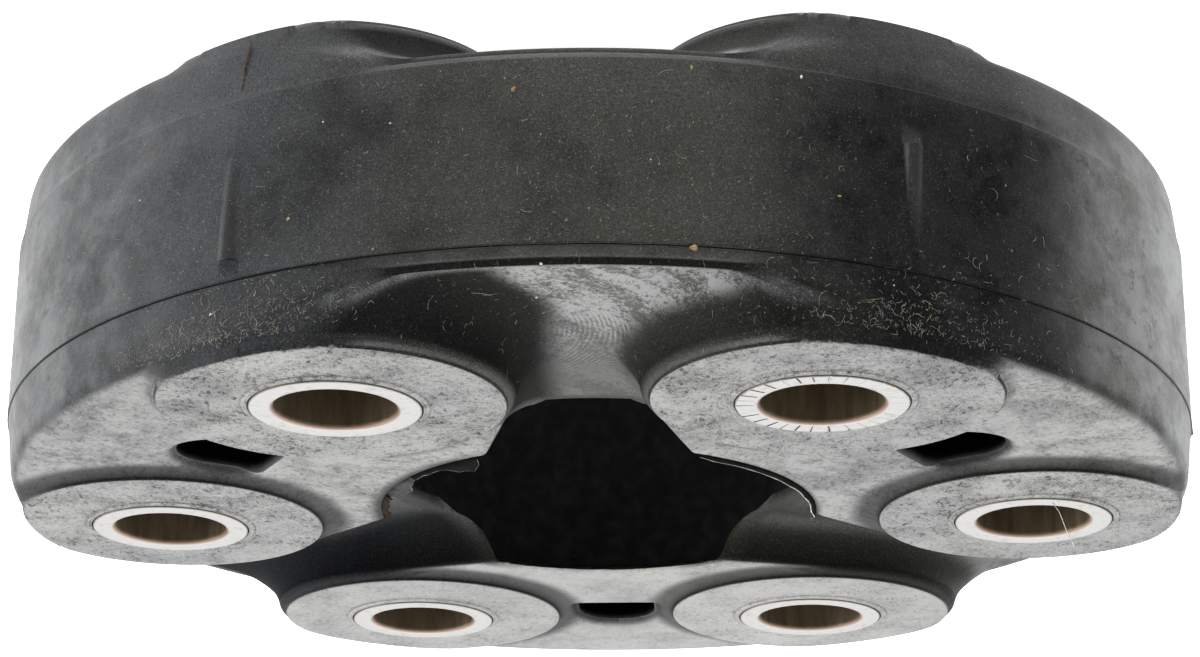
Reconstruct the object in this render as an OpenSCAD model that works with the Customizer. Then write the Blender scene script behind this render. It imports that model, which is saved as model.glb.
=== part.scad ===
// Rubber flex disc for a driveshaft: six steel bolt sleeves on one pitch circle,
// tied in pairs by cord loops and moulded into a single rubber body.
// The shaft axis is Z, and the disc's faces are alike about the plane Z = 0.

/* [Sleeves] */
// Diameter of the pitch circle through the sleeve centres
pitch_d = 96; // [90:0.5:110]
// Length of a sleeve, which is the height of the whole disc
sleeve_len = 35; // [33:0.5:42]
// Outside diameter of a sleeve
sleeve_d = 17.2; // [15.5:0.1:18.5]
// Bore of a sleeve
bore_d = 12.2; // [8:0.1:13.5]
// Chamfer at each mouth of the bore
bore_chamfer = 0.35; // [0.1:0.05:0.8]
// Chamfer round each end of a sleeve
sleeve_chamfer = 0.2; // [0.1:0.05:0.4]
// How far a sleeve stands out of the rubber at each end
sleeve_proud = 0.5; // [0.2:0.1:1]

/* [Rubber body] */
// Diameter of the hole through the middle
hole_d = 48; // [36:0.5:49]
// Rubber outside the cord loops, measured at the outer wall
outer_cover = 3.8; // [3:0.1:8]
// Thickness of the three webs between the pads
web_h = 22; // [17:0.5:24]
// Diameter of the round boss face at each sleeve
boss_d = 34; // [30:0.5:38]
// Height of a boss face above its pad
boss_rise = 0.9; // [0.5:0.1:1.5]
// Round along the rim of a boss face
boss_rim_r = 0.3; // [0.1:0.05:0.4]
// How far the flank of a pad is set in under the rim of a boss
flank_inset = 0.2; // [0.1:0.05:0.6]
// Radius of the cove between a flank and the web
cove_r = 6; // [2:0.5:6]
// How far the cove's circle sinks into the flank and the web
cove_bite = 0.1; // [0.05:0.05:0.3]
// Lean of the outer wall above and below the parting lines, in degrees
wall_draft = 6; // [1:0.5:8]
// Round along the outer edge of a pad
pad_edge_r = 1.8; // [0.8:0.1:2.5]
// Round along the outer edge of a boss
boss_edge_r = 1; // [0.5:0.1:1.5]
// Set-back of the wall at a parting line
parting_step = 0.15; // [0.05:0.05:0.4]

/* [Web rim] */
// Height of the web's face above the parting line
rim_h = 1.5; // [1.2:0.1:2.5]
// Width of the flat along the lower lip of that rim
lip_flat = 0.4; // [0.2:0.1:1.5]
// Depth of the step from the web's face down to that lip
rim_step = 0.7; // [0.4:0.1:1]

/* [Pockets] */
// Width of a pocket across its pad
pocket_w = 9.4; // [6:0.2:11]
// Length of a pocket along the radius
pocket_len = 10.6; // [9:0.2:12]
// Rubber between the outer end of a pocket and the cord loop round it
pocket_cover = 1.2; // [0.6:0.1:3]
// Round in the two inner corners of a pocket
pocket_corner_r = 2; // [1:0.1:2.8]
// Rubber left between the two pockets of a pad
pocket_floor = 10; // [4:0.5:20]

/* [Wall ribs] */
// Diameter of the round bar that a wall rib is cut from
rib_d = 2.2; // [1.6:0.1:3]
// Length of a rib
rib_len = 11; // [6:0.5:14]
// Height of a rib's middle above the mid plane
rib_mid = 2; // [-2:0.5:2]
// How far the wide end of a rib stands out of the wall
rib_proud = 0.7; // [0.3:0.1:1]
// Lean of a rib into the wall, in degrees
rib_lean = 4; // [2:0.5:6]

/* [Cord loops] */
// Thickness of the cord wound round the sleeves
loop_wall = 4.5; // [2.5:0.1:5]
// Rubber between a loop and the sleeves in it
loop_bond = 0.4; // [0.2:0.1:1]
// Rubber between a web's face and the loop inside it
web_cover = 4.8; // [3:0.1:6.5]
// Rubber between a pad's face and its nearer loop
pad_cover = 1.7; // [1:0.1:3]
// Thickness of the collar between two loops on one sleeve
collar_t = 1.2; // [0.8:0.1:2.5]
// How far a collar stands out past the loops
collar_over = 0.6; // [0.2:0.1:1.5]
// Rubber between a collar and the loop on either side of it
collar_bond = 0.3; // [0.2:0.1:0.8]

/* [Hidden] */
pad_count = 3;
sleeve_count = 2 * pad_count;
sleeves = [1:sleeve_count];
pairs = [1:pad_count];

$fn = 96;
// Straight steps in each round that is drawn point by point
arc_steps = 8;

// Sleeves run anticlockwise from +X. Pad 1 holds the last sleeve and the first.
sleeve_angle = 360 / sleeve_count;
pair_angle = 360 / pad_count;
half_angle = sleeve_angle / 2;

pitch_r = pitch_d / 2;
sleeve_r = sleeve_d / 2;
bore_r = bore_d / 2;
hole_r = hole_d / 2;
boss_r = boss_d / 2;
flank_r = boss_r - flank_inset;
loop_inner_r = sleeve_r + loop_bond;
loop_outer_r = loop_inner_r + loop_wall;
collar_r = loop_outer_r + collar_over;

// Middle of a pair of sleeves: its distance from the shaft axis, and half the pair's spacing
chord_r = pitch_r * cos(half_angle);
half_chord = pitch_r * sin(half_angle);

// Heights above the mid plane
sleeve_top = sleeve_len / 2;
boss_top = sleeve_top - sleeve_proud;
pad_top = boss_top - boss_rise;
web_top = web_h / 2;
lip_top = web_top - rim_step;
parting_z = web_top - rim_h;
web_loop_top = web_top - web_cover;
collar_z = web_loop_top + collar_bond + collar_t / 2;
pad_loop_base = collar_z + collar_t / 2 + collar_bond;
pad_loop_top = pad_top - pad_cover;
pocket_z = pocket_floor / 2;

// Radii of the outer wall between the parting lines, and beyond them
band_r = pitch_r + loop_outer_r + outer_cover;
wall_r = band_r - parting_step;
lip_r = lip_top - parting_z;
lip_edge_r = wall_r - parting_step;
lip_floor_r = lip_edge_r - lip_r - lip_flat;

// A flank runs straight from the hole's edge, at a sleeve's own angle, until it just enters the boss.
flank_reach = pitch_r - hole_r;
flank_turn = asin((flank_r - cove_bite) / flank_reach);
flank_len = flank_reach * cos(flank_turn);

// How far a cut or a hidden end runs past the surface that it crosses
past = 2;

rubber_colour = [0.17, 0.18, 0.18];
steel_colour = [0.82, 0.81, 0.79];
collar_colour = [0.55, 0.56, 0.58];
cord_colour = [0.86, 0.82, 0.68];

function turned(p, a) = [p.x * cos(a) - p.y * sin(a), p.x * sin(a) + p.y * cos(a)];
// A run of points, followed by the same run mirrored in the X axis and taken backwards
function and_mirrored(run) = concat(run, [for (n = [len(run) - 1:-1:0]) [run[n].x, -run[n].y]]);
// Points along an arc, from one angle to another
function arc(centre, r, from, to) = [
    for (n = [0:arc_steps])
        let (a = from + (to - from) * n / arc_steps)
            centre + r * [cos(a), sin(a)]
];
// Point on the flank of a pad whose axis is +X, at a distance along it from the hole's edge
function flank_point(s) = turned([hole_r + s * cos(flank_turn), s * sin(flank_turn)], half_angle);
// 1 for a sleeve with its web on the anticlockwise side, -1 for one with it on the other
function web_side(i) = i % 2 == 1 ? 1 : -1;

// Places children at a sleeve, with +X pointing away from the shaft axis
module at_sleeve(i) {
    rotate([0, 0, (i - 1) * sleeve_angle])
        translate([pitch_r, 0, 0])
            children();
}

// Turns +X to the middle of a pad or of a web
module at_pad(i) {
    rotate([0, 0, (i - 1) * pair_angle - half_angle])
        children();
}

module at_web(i) {
    rotate([0, 0, (i - 1) * pair_angle + half_angle])
        children();
}

// Section inside the outer wall: a leaning wall, sunk in the band below it, with a round at each end
module wall_section() {
    centre_z = boss_top - boss_edge_r;
    lean = (centre_z - parting_z) * sin(wall_draft);
    centre_r = wall_r - (boss_edge_r + lean) / cos(wall_draft);
    sunk = rim_h / 2;
    polygon(and_mirrored(concat(
        [[0, boss_top]],
        arc([centre_r, centre_z], boss_edge_r, 90, wall_draft),
        [
            [wall_r + sunk * tan(wall_draft), parting_z - sunk],
            [wall_r - past, parting_z - sunk],
        ]
    )));
}

// Section that rounds the edge of a pad, and is clear of the outer wall below that
module pad_edge_section() {
    centre_z = pad_top - pad_edge_r;
    centre_r = wall_r - (centre_z - parting_z) * tan(wall_draft) - pad_edge_r + cove_bite;
    polygon(and_mirrored(concat(
        [[0, pad_top]],
        arc([centre_r, centre_z], pad_edge_r, 90, 0),
        [[band_r + past, centre_z]]
    )));
}

// Section of the web, with its stepped rim
module web_section() {
    polygon(and_mirrored(concat(
        [
            [hole_r - past, web_top],
            [lip_floor_r, web_top],
            [lip_floor_r, lip_top],
        ],
        arc([lip_edge_r - lip_r, parting_z], lip_r, 90, 0),
        [[band_r, parting_z]]
    )));
}

// Section of the coves between a flank at X = 0 and the two faces of the web
module cove_section() {
    centre = [cove_r - cove_bite, web_top + cove_r - cove_bite];
    polygon(and_mirrored(concat(
        [[-past, centre.y]],
        arc(centre, cove_r, 180, 270)
    )));
}

// Section of a boss: its flank, and the wider raised face at each end
module boss_section() {
    rim_centre = [boss_r - boss_rim_r, boss_top - boss_rim_r];
    polygon(and_mirrored(concat(
        [[0, boss_top]],
        arc(rim_centre, boss_rim_r, 90, 0),
        [
            [boss_r, pad_top - cove_bite],
            [flank_r, pad_top - cove_bite],
        ]
    )));
}

// Outline of a pad between its two bosses, open towards the outer wall, whose own section trims it
module pad_outline() {
    outside = band_r / cos(half_angle) + past;
    polygon(and_mirrored([
        flank_point(-cove_r),
        flank_point(flank_len),
        turned([outside, 0], half_angle),
    ]));
}

// Slot shape round a pair of sleeves
module pair_outline(r) {
    translate([chord_r, 0]) {
        square([2 * r, 2 * half_chord], center = true);
        for (y = [-half_chord, half_chord])
            translate([0, y])
                circle(r);
    }
}

module loop_outline() {
    difference() {
        pair_outline(loop_outer_r);
        pair_outline(loop_inner_r);
    }
}

// Outline of a pocket: square with rounded corners towards the hole, round towards the wall
module pocket_outline() {
    end_r = pocket_w / 2;
    outer_x = chord_r + loop_inner_r - pocket_cover;
    corner = [outer_x - pocket_len + pocket_corner_r, end_r - pocket_corner_r];
    polygon(and_mirrored(concat(
        arc(corner, pocket_corner_r, 180, 90),
        arc([outer_x - end_r, 0], end_r, 90, 0)
    )));
}

// A layer with the given outline between two heights
module layer(bottom, top) {
    translate([0, 0, bottom])
        linear_extrude(top - bottom)
            children();
}

module web_ring() {
    rotate_extrude()
        web_section();
}

module pad() {
    layer(-boss_top, boss_top)
        pad_outline();
}

// Cove round the web side of a boss, then along the straight flank to the hole
module cove(side) {
    mirror([0, side > 0 ? 0 : 1, 0]) {
        rotate([0, 0, -half_angle])
            rotate_extrude(angle = half_angle + 90 + flank_turn)
                translate([flank_r, 0])
                    cove_section();
        rotate([0, 0, flank_turn])
            translate([-flank_len - cove_r, flank_r, 0])
                rotate([90, 0, 90])
                    linear_extrude(flank_len + cove_r)
                        cove_section();
    }
}

module boss() {
    rotate_extrude()
        boss_section();
}

// The three pads and the coves round them, under the round of the pads' outer edge
module rounded_pads() {
    intersection() {
        rotate_extrude()
            pad_edge_section();
        union() {
            for (i = pairs)
                at_pad(i)
                    pad();
            for (i = sleeves)
                at_sleeve(i)
                    cove(web_side(i));
        }
    }
}

// A bar sunk in the outer wall that comes out of it towards one end; the end is up for 1, down for -1
module wall_rib(end) {
    translate([band_r + rib_proud - rib_d / 2 - pitch_r, 0, rib_mid + end * rib_len / 2])
        rotate([0, end * rib_lean, 0])
            translate([0, 0, -end * rib_len / 2])
                cylinder(d = rib_d, h = rib_len, center = true);
}

module pocket() {
    layer(pocket_z, pad_top + past)
        pocket_outline();
    layer(-pad_top - past, -pocket_z)
        pocket_outline();
}

module rubber_body() {
    color(rubber_colour)
        difference() {
            union() {
                web_ring();
                intersection() {
                    rotate_extrude()
                        wall_section();
                    union() {
                        rounded_pads();
                        for (i = sleeves)
                            at_sleeve(i)
                                boss();
                    }
                }
                for (i = sleeves)
                    at_sleeve(i)
                        wall_rib(-web_side(i));
            }
            cylinder(r = hole_r, h = 2 * (boss_top + past), center = true);
            for (i = pairs) {
                at_pad(i) {
                    pocket();
                    pad_loop_shape(1);
                    pad_loop_shape(-1);
                }
                at_web(i)
                    web_loop_shape();
            }
            for (i = sleeves)
                at_sleeve(i) {
                    cylinder(r = sleeve_r, h = 2 * (boss_top + past), center = true);
                    collar_seat(1);
                    collar_seat(-1);
                }
        }
}

module sleeve(i) {
    color(steel_colour)
        at_sleeve(i)
            rotate_extrude()
                polygon(and_mirrored([
                    [bore_r, sleeve_top - bore_chamfer],
                    [bore_r + bore_chamfer, sleeve_top],
                    [sleeve_r - sleeve_chamfer, sleeve_top],
                    [sleeve_r, sleeve_top - sleeve_chamfer],
                ]));
}

// Space that a collar fills in the rubber, above the mid plane for 1 and below it for -1
module collar_seat(half) {
    translate([0, 0, half * collar_z])
        cylinder(r = collar_r, h = collar_t, center = true);
}

module collar(i, half) {
    color(collar_colour)
        at_sleeve(i)
            difference() {
                collar_seat(half);
                cylinder(r = sleeve_r, h = sleeve_len, center = true);
            }
}

module pad_loop_shape(half) {
    layer(half > 0 ? pad_loop_base : -pad_loop_top, half > 0 ? pad_loop_top : -pad_loop_base)
        loop_outline();
}

module web_loop_shape() {
    layer(-web_loop_top, web_loop_top)
        loop_outline();
}

module pad_loop(i, half) {
    color(cord_colour)
        at_pad(i)
            pad_loop_shape(half);
}

module web_loop(i) {
    color(cord_colour)
        at_web(i)
            web_loop_shape();
}

rubber_body();
for (i = sleeves) {
    sleeve(i);
    collar(i, 1);
    collar(i, -1);
}
for (i = pairs) {
    pad_loop(i, 1);
    pad_loop(i, -1);
    web_loop(i);
}
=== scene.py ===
import math

import bpy
import numpy as np
from mathutils import Matrix, Vector, kdtree
from mathutils.geometry import delaunay_2d_cdt


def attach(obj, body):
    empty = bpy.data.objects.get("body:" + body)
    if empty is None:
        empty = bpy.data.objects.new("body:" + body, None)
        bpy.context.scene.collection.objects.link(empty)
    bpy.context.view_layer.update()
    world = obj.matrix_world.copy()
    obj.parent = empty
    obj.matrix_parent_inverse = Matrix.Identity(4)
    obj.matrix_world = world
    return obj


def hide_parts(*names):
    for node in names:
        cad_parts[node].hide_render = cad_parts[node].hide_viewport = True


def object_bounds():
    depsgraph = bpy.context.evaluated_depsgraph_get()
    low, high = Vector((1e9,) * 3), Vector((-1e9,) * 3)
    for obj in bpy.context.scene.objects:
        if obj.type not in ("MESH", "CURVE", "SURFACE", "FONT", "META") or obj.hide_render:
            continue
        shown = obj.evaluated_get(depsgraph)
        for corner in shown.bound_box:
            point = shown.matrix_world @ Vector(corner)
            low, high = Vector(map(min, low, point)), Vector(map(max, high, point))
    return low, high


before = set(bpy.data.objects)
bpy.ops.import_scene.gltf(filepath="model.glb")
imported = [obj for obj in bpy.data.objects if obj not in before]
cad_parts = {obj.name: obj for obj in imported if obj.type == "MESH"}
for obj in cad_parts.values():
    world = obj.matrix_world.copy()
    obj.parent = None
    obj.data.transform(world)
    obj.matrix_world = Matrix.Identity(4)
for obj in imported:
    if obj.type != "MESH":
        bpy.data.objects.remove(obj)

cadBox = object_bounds()
mm = 0.001  # everything below is in millimetres until it becomes a mesh
sleeveCount = 6


# shader wiring

class Wire:
    def __init__(self, finish, socket):
        self.finish = finish
        self.socket = socket

    def work(self, operation, first, second=0.0):
        return self.finish.node("ShaderNodeMath", {"operation": operation}, {0: first, 1: second})

    def __add__(self, other):
        return self.work("ADD", self, other)

    def __radd__(self, other):
        return self.work("ADD", other, self)

    def __sub__(self, other):
        return self.work("SUBTRACT", self, other)

    def __rsub__(self, other):
        return self.work("SUBTRACT", other, self)

    def __mul__(self, other):
        return self.work("MULTIPLY", self, other)

    def __rmul__(self, other):
        return self.work("MULTIPLY", other, self)

    def __truediv__(self, other):
        return self.work("DIVIDE", self, other)

    def __pow__(self, other):
        return self.work("POWER", self, other)

    def __abs__(self):
        return self.work("ABSOLUTE", self)

    def also(self, name):
        return Wire(self.finish, self.socket.node.outputs[name])


class Finish:
    def __init__(self, holder, shader, output):
        holder.use_nodes = True
        self.holder = holder
        self.tree = holder.node_tree
        self.tree.nodes.clear()
        self.shader = self.tree.nodes.new(shader)
        self.end = self.tree.nodes.new(output)
        self.tree.links.new(self.shader.outputs[0], self.end.inputs[0])

    def put(self, socket, value):
        if isinstance(value, Wire):
            self.tree.links.new(value.socket, socket)
        else:
            socket.default_value = value

    def node(self, kind, settings=None, sockets=None, out=0):
        made = self.tree.nodes.new(kind)
        for key, value in (settings or {}).items():
            setattr(made, key, value)
        for key, value in (sockets or {}).items():
            self.put(made.inputs[key], value)
        return Wire(self, made.outputs[out])

    def finishWith(self, wire):
        self.tree.links.new(wire.socket, self.end.inputs[0])

    def give(self, **values):  # SpecularIORLevel is written with its own spaces, as Blender has them
        for key, value in values.items():
            spaced = "".join(" " + c if c.isupper() else c for c in key).strip()
            self.put(self.shader.inputs[spaced.replace("I O R", "IOR")], value)

    def blend(self, share, first, second):
        return self.node("ShaderNodeMix", {"data_type": "RGBA"}, {0: share, 6: first, 7: second}, 2)

    def rise(self, value, low, high):  # 0 below low, 1 above high, smooth between
        return self.node("ShaderNodeMapRange", {"interpolation_type": "SMOOTHSTEP"},
                         {"Value": value, "From Min": low, "From Max": high})

    def most(self, first, second):
        return self.node("ShaderNodeMath", {"operation": "MAXIMUM"}, {0: first, 1: second})

    def least(self, first, second):
        return self.node("ShaderNodeMath", {"operation": "MINIMUM"}, {0: first, 1: second})

    def axes(self, spot):
        split = self.node("ShaderNodeSeparateXYZ", None, {0: spot})
        return split, split.also("Y"), split.also("Z")

    def bump(self, height, strength, distance):
        return self.node("ShaderNodeBump", None, {"Strength": strength, "Distance": distance, "Height": height})

    def grains(self, where, size):
        return self.node("ShaderNodeTexVoronoi", {"feature": "F1"},
                         {"Vector": where, "Scale": size, "Randomness": 1.0})

    def place(self, scale=(1000.0, 1000.0, 1000.0)):  # object coordinates, in millimetres if not scaled otherwise
        spot = self.node("ShaderNodeTexCoord", out="Object")
        return self.node("ShaderNodeVectorMath", {"operation": "MULTIPLY"}, {0: spot, 1: scale})

    def noise(self, where, scale, detail=3.0, rough=0.55, shift=0.0):
        return self.node("ShaderNodeTexNoise", {"noise_dimensions": "4D"},
                         {"Vector": where, "W": shift, "Scale": scale, "Detail": detail, "Roughness": rough})


def makeFinish(name):
    return Finish(bpy.data.materials.new(name), "ShaderNodeBsdfPrincipled", "ShaderNodeOutputMaterial")


# camera, floor and light

view = dict(turns=(-2.975, 19.872, 0.333),  # azimuth, elevation and roll
            distance=338.92, aside=0.031, up=-21.927, sleeveTop=17.5,
            focalPixels=3049.9, pictureWide=1200, sensor=36.0)


def makeCamera():
    az, el, roll = (math.radians(t) for t in view["turns"])
    back = Vector((math.sin(az) * math.cos(el), -math.cos(az) * math.cos(el), math.sin(el)))
    right = Vector((math.cos(az), math.sin(az), 0))
    up = back.cross(right)
    place = back * view["distance"] + right * view["aside"] + up * view["up"] + Vector((0, 0, view["sleeveTop"]))
    right, up = right * math.cos(roll) + up * math.sin(roll), up * math.cos(roll) - right * math.sin(roll)
    camera = bpy.data.objects.new("camera", bpy.data.cameras.new("camera"))
    bpy.context.scene.collection.objects.link(camera)
    turn = Matrix((-right, -up, back)).transposed()  # the picture is upside down, so the camera is too
    camera.matrix_world = Matrix.Translation(place * mm) @ turn.to_4x4()
    camera.data.sensor_width = view["sensor"]
    camera.data.lens = view["focalPixels"] / view["pictureWide"] * view["sensor"]
    camera.data.clip_start, camera.data.clip_end = 0.02, 20
    bpy.context.scene.camera = camera


makeCamera()
print("camera set")

stage = dict(floorColour=(0.93, 0.93, 0.925, 1), floorPale=(0.95, 0.95, 0.945, 1), floorGlow=0.95, floorWide=4.0,
             topPlace=(0, 0.34, 0.62), topWide=1.25, topLight=9.0,
             sidePlace=(0.6, 0.05, 0.28), sideWide=0.5, sideLight=(0.05, 1.2),
             skyLow=0.10, skyAbove=0.40, skyBehind=0.25)


def meshPiece(name, points, faces, smooth=True):
    mesh = bpy.data.meshes.new(name)
    mesh.from_pydata([tuple(p) for p in points], [], [tuple(f) for f in faces])
    mesh.update()
    if smooth:
        mesh.polygons.foreach_set("use_smooth", [True] * len(mesh.polygons))
    piece = bpy.data.objects.new(name, mesh)
    bpy.context.scene.collection.objects.link(piece)
    return piece


def areaLight(name, place, wide, power):
    lamp = bpy.data.lights.new(name, "AREA")
    lamp.shape, lamp.size, lamp.size_y = "RECTANGLE", wide, wide
    lamp.energy = power
    holder = bpy.data.objects.new(name, lamp)
    holder.location = place
    holder.rotation_mode = "QUATERNION"
    holder.rotation_quaternion = (-Vector(place)).to_track_quat("-Z", "Y")
    bpy.context.scene.collection.objects.link(holder)


def makeStage():
    w = stage["floorWide"] / 2
    z = cadBox[0].z - 0.00002
    floor = meshPiece("floor", [(-w, -w, z), (w, -w, z), (w, w, z), (-w, w, z)], [(0, 1, 2, 3)], False)
    paper = makeFinish("paleFloor")
    grain = paper.noise(paper.place(), 0.02, 2.0)
    paper.give(BaseColor=paper.blend(grain, stage["floorColour"], stage["floorPale"]), Roughness=0.9,
               EmissionColor=(1, 1, 1, 1), EmissionStrength=stage["floorGlow"])
    floor.data.materials.append(paper.holder)
    areaLight("topLight", stage["topPlace"], stage["topWide"], stage["topLight"])
    out, back, high = stage["sidePlace"]
    for side, power in zip((-1, 1), stage["sideLight"]):
        areaLight(f"sideLight{side + 1}", (side * out, back, high), stage["sideWide"], power)
    sky = Finish(bpy.data.worlds.new("studio"), "ShaderNodeBackground", "ShaderNodeOutputWorld")
    _, away, upward = sky.axes(sky.node("ShaderNodeTexCoord", out="Generated"))
    glow = (stage["skyLow"] + stage["skyAbove"] * sky.rise(upward, -0.2, 0.9)
            + stage["skyBehind"] * sky.rise(away, -0.5, 0.6))
    sky.give(Color=sky.blend(glow, (0, 0, 0, 1), (1, 1, 1, 1)), Strength=1.0)
    bpy.context.scene.world = sky.holder
    bpy.context.scene.view_settings.view_transform = "Standard"


makeStage()
print("stage set")

# the moulded rubber

rubber = dict(
    holeR=24.0, pitchR=48.0, bossR=17.0, flankR=16.8, sleeveR=8.6, boreR=8.45,
    bossTop=17.0, padTop=16.1, webTop=11.0, partingZ=9.5,
    bandR=65.3, wallR=65.15, lipRun=0.62, lipRise=0.8, lipEdgeR=65.0, lipFloorR=63.8,
    draft=6.0, padRound=1.8, bossRound=1.0, rimRound=0.3, cornerRound=3.6, hoodRound=2.4, flankRound=0.5,
    edgeRound=1.5, bossCorner=1.6,
    coveNeck=4.4, coveRim=6.6, coveRise=5.4, ledge=0.98,
    pocketIn=38.77, pocketOut=49.37, pocketHalf=4.7, pocketCorner=2.0, pocketZ=5.0,
    collarR=9.32, collarRise=0.34, gapDeep=0.3, filletR=2.2, moatDeep=0.24, moatWide=1.1,
    ribR=1.3, ribProud=0.85, ribLow=-3.5, ribHigh=7.5, ribLean=4.0,
    bossColumns=132, holeColumns=240,
    spread=1.3, spreadBosses=((-60, 1), (-120, -1)),
)
leanOut = math.tan(math.radians(rubber["draft"]))


def soft(value, low, high):
    t = np.clip((value - low) / (high - low), 0, 1)
    return t * t * (3 - 2 * t)


def foldToPad(x, y):
    turn = np.radians((np.degrees(np.arctan2(y, x)) + 90) % 120 - 60)
    far = np.hypot(x, y)
    return far * np.cos(turn), np.abs(far * np.sin(turn))


def flankDistance(px, py):
    # how far a point stands outside the pad's outline, which is straight from the hole and then follows the boss
    reach = rubber["pitchR"] - rubber["holeR"]
    turn = math.asin(rubber["flankR"] / reach)
    along = math.radians(30) + turn
    ex, ey = math.cos(along), math.sin(along)
    half = math.radians(30)
    qx, qy = rubber["holeR"] * math.cos(half), rubber["holeR"] * math.sin(half)
    sx, sy = rubber["pitchR"] * math.cos(half), rubber["pitchR"] * math.sin(half)
    run = (px - qx) * ex + (py - qy) * ey
    straight = -(px - qx) * ey + (py - qy) * ex
    boss = np.hypot(px - sx, py - sy)
    inward = px * math.sin(half) - py * math.cos(half)  # positive on the pad's side of the sleeve's own radius
    around = boss - rubber["flankR"]
    around = np.where(inward > 0, np.minimum(around, -inward), around)
    beside = run < reach * math.cos(turn)  # beside the straight run, not yet round the boss
    return np.where(beside, straight, around), boss, beside


def pocketDistance(px, py):
    mid = rubber["pocketOut"] - rubber["pocketHalf"]
    c = rubber["pocketCorner"]
    u = rubber["pocketIn"] + c - px
    v = py - (rubber["pocketHalf"] - c)
    corner = np.hypot(np.maximum(u, 0), np.maximum(v, 0)) - c
    flat = np.maximum(rubber["pocketIn"] - px, py - rubber["pocketHalf"])
    inner = np.where((u > 0) & (v > 0), corner, flat)
    return np.where(px > mid, np.hypot(px - mid, py) - rubber["pocketHalf"], inner)


def meet(first, second, r):  # both outlines at once, with a round of radius r where they cross
    a, b = first + r, second + r
    return np.where((a > 0) & (b > 0), np.hypot(np.maximum(a, 0), np.maximum(b, 0)) - r, np.maximum(first, second))


def wallRadius(z, top, r):
    zc = top - r
    leaning = rubber["wallR"] - (z - rubber["partingZ"]) * leanOut
    centre = rubber["wallR"] - (zc - rubber["partingZ"]) * leanOut - r
    return np.where(z > zc, centre + np.sqrt(np.maximum(r * r - (z - zc) ** 2, 0)), leaning)


def highest(outside, low, high, shape):  # the largest z at which a point is still inside
    lo, hi = np.full(shape, low), np.full(shape, high)
    for _ in range(26):
        z = (lo + hi) / 2
        out = outside(z) > 0
        hi = np.where(out, z, hi)
        lo = np.where(out, lo, z)
    return lo


def topHeight(x, y):
    far = np.hypot(x, y)
    px, py = foldToPad(x, y)
    flank, boss, _ = flankDistance(px, py)
    low = rubber["partingZ"] - 0.3

    # web with its stepped rim
    inwards = np.clip((rubber["lipEdgeR"] - far) / rubber["lipRun"], 0, 1)
    lip = rubber["partingZ"] + rubber["lipRise"] * inwards ** 0.8
    web = lip + (rubber["webTop"] - lip) * soft(-far, -rubber["lipFloorR"] - 0.42, -rubber["lipFloorR"] - 0.04)
    over = np.maximum(rubber["holeR"] + rubber["edgeRound"] - far, 0)
    web = web - rubber["edgeRound"] + np.sqrt(np.maximum(rubber["edgeRound"] ** 2 - over ** 2, 0))

    # pads, with a cove at the foot of each flank
    cove = rubber["coveNeck"] + (rubber["coveRim"] - rubber["coveNeck"]) * soft(far, 34, 60)

    def outsidePad(z):
        t = np.clip((rubber["webTop"] + rubber["coveRise"] - z) / rubber["coveRise"], 0, 1)
        spread = (cove * (1 - np.sqrt(1 - t * t)) + np.maximum(rubber["webTop"] - z, 0) * 2.2
                  + 0.05 * (rubber["padTop"] - z))
        r = rubber["flankRound"]
        spread = spread - r + np.sqrt(np.maximum(r * r - np.maximum(z - rubber["padTop"] + r, 0) ** 2, 0))
        limit = wallRadius(z, rubber["padTop"], rubber["padRound"])
        limit = limit - (rubber["wallR"] - rubber["lipFloorR"]) * soft(flank, 1.5, 7.0)
        return meet(flank - spread - rubber["ledge"], far - limit, rubber["hoodRound"])

    pad = highest(outsidePad, low, rubber["padTop"], x.shape)

    # boss faces
    def outsideBoss(z):
        r = rubber["rimRound"]
        edge = rubber["bossR"] - r + np.sqrt(np.maximum(r * r - np.maximum(z - rubber["bossTop"] + r, 0) ** 2, 0))
        edge = edge + (0.06 + 0.25 * soft(far, 61.8, 63.2)) * (rubber["bossTop"] - z)
        corner = rubber["bossCorner"] + (rubber["cornerRound"] - rubber["bossCorner"]) * soft(-z, -16.4, -14.6)
        return meet(boss - edge, far - wallRadius(z, rubber["bossTop"], rubber["bossRound"]), corner)

    face = highest(outsideBoss, low, rubber["bossTop"], x.shape)
    rise, r = rubber["bossTop"] - rubber["padTop"] - 0.08, rubber["filletR"]
    reach = math.sqrt(r * r - (r - rise) ** 2)
    past = np.clip(reach - np.maximum(boss - rubber["bossR"], 0), 0, reach)
    fillet = (r - np.sqrt(r * r - past ** 2)) * soft(pad, 15.2, 16.0)  # hollow round the foot of the boss
    moat = rubber["moatDeep"] * np.exp(-np.maximum(boss - rubber["bossR"], 0) / rubber["moatWide"])
    moat = moat * soft(pad, 15.0, 15.9)
    z = np.maximum(np.maximum(web, pad + fillet - moat), face)
    z = z + rubber["collarRise"] * (1 - soft(boss, rubber["collarR"] - 0.45, rubber["collarR"] + 0.55))
    z = z - rubber["gapDeep"] * (1 - soft(boss, rubber["sleeveR"] + 0.02, rubber["sleeveR"] + 0.13))
    z = z - 0.25 * (1 - soft(far, rubber["holeR"] - 0.1, rubber["holeR"] + 0.9)) ** 2 * (z > 15)

    # blind pockets
    pocket = pocketDistance(px, py)
    z = z - 0.75 * (1 - soft(pocket, -0.1, 1.7)) ** 2 * soft(px, 38.6, 41.0)
    floorZ = rubber["pocketZ"] + 0.7 * (1 - soft(-pocket, 0.3, 1.5))
    z = np.where(pocket < 0, np.maximum(floorZ, z + pocket * 36), z)
    return np.where(far > rubber["wallR"] - 0.005, rubber["partingZ"], z)


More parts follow.
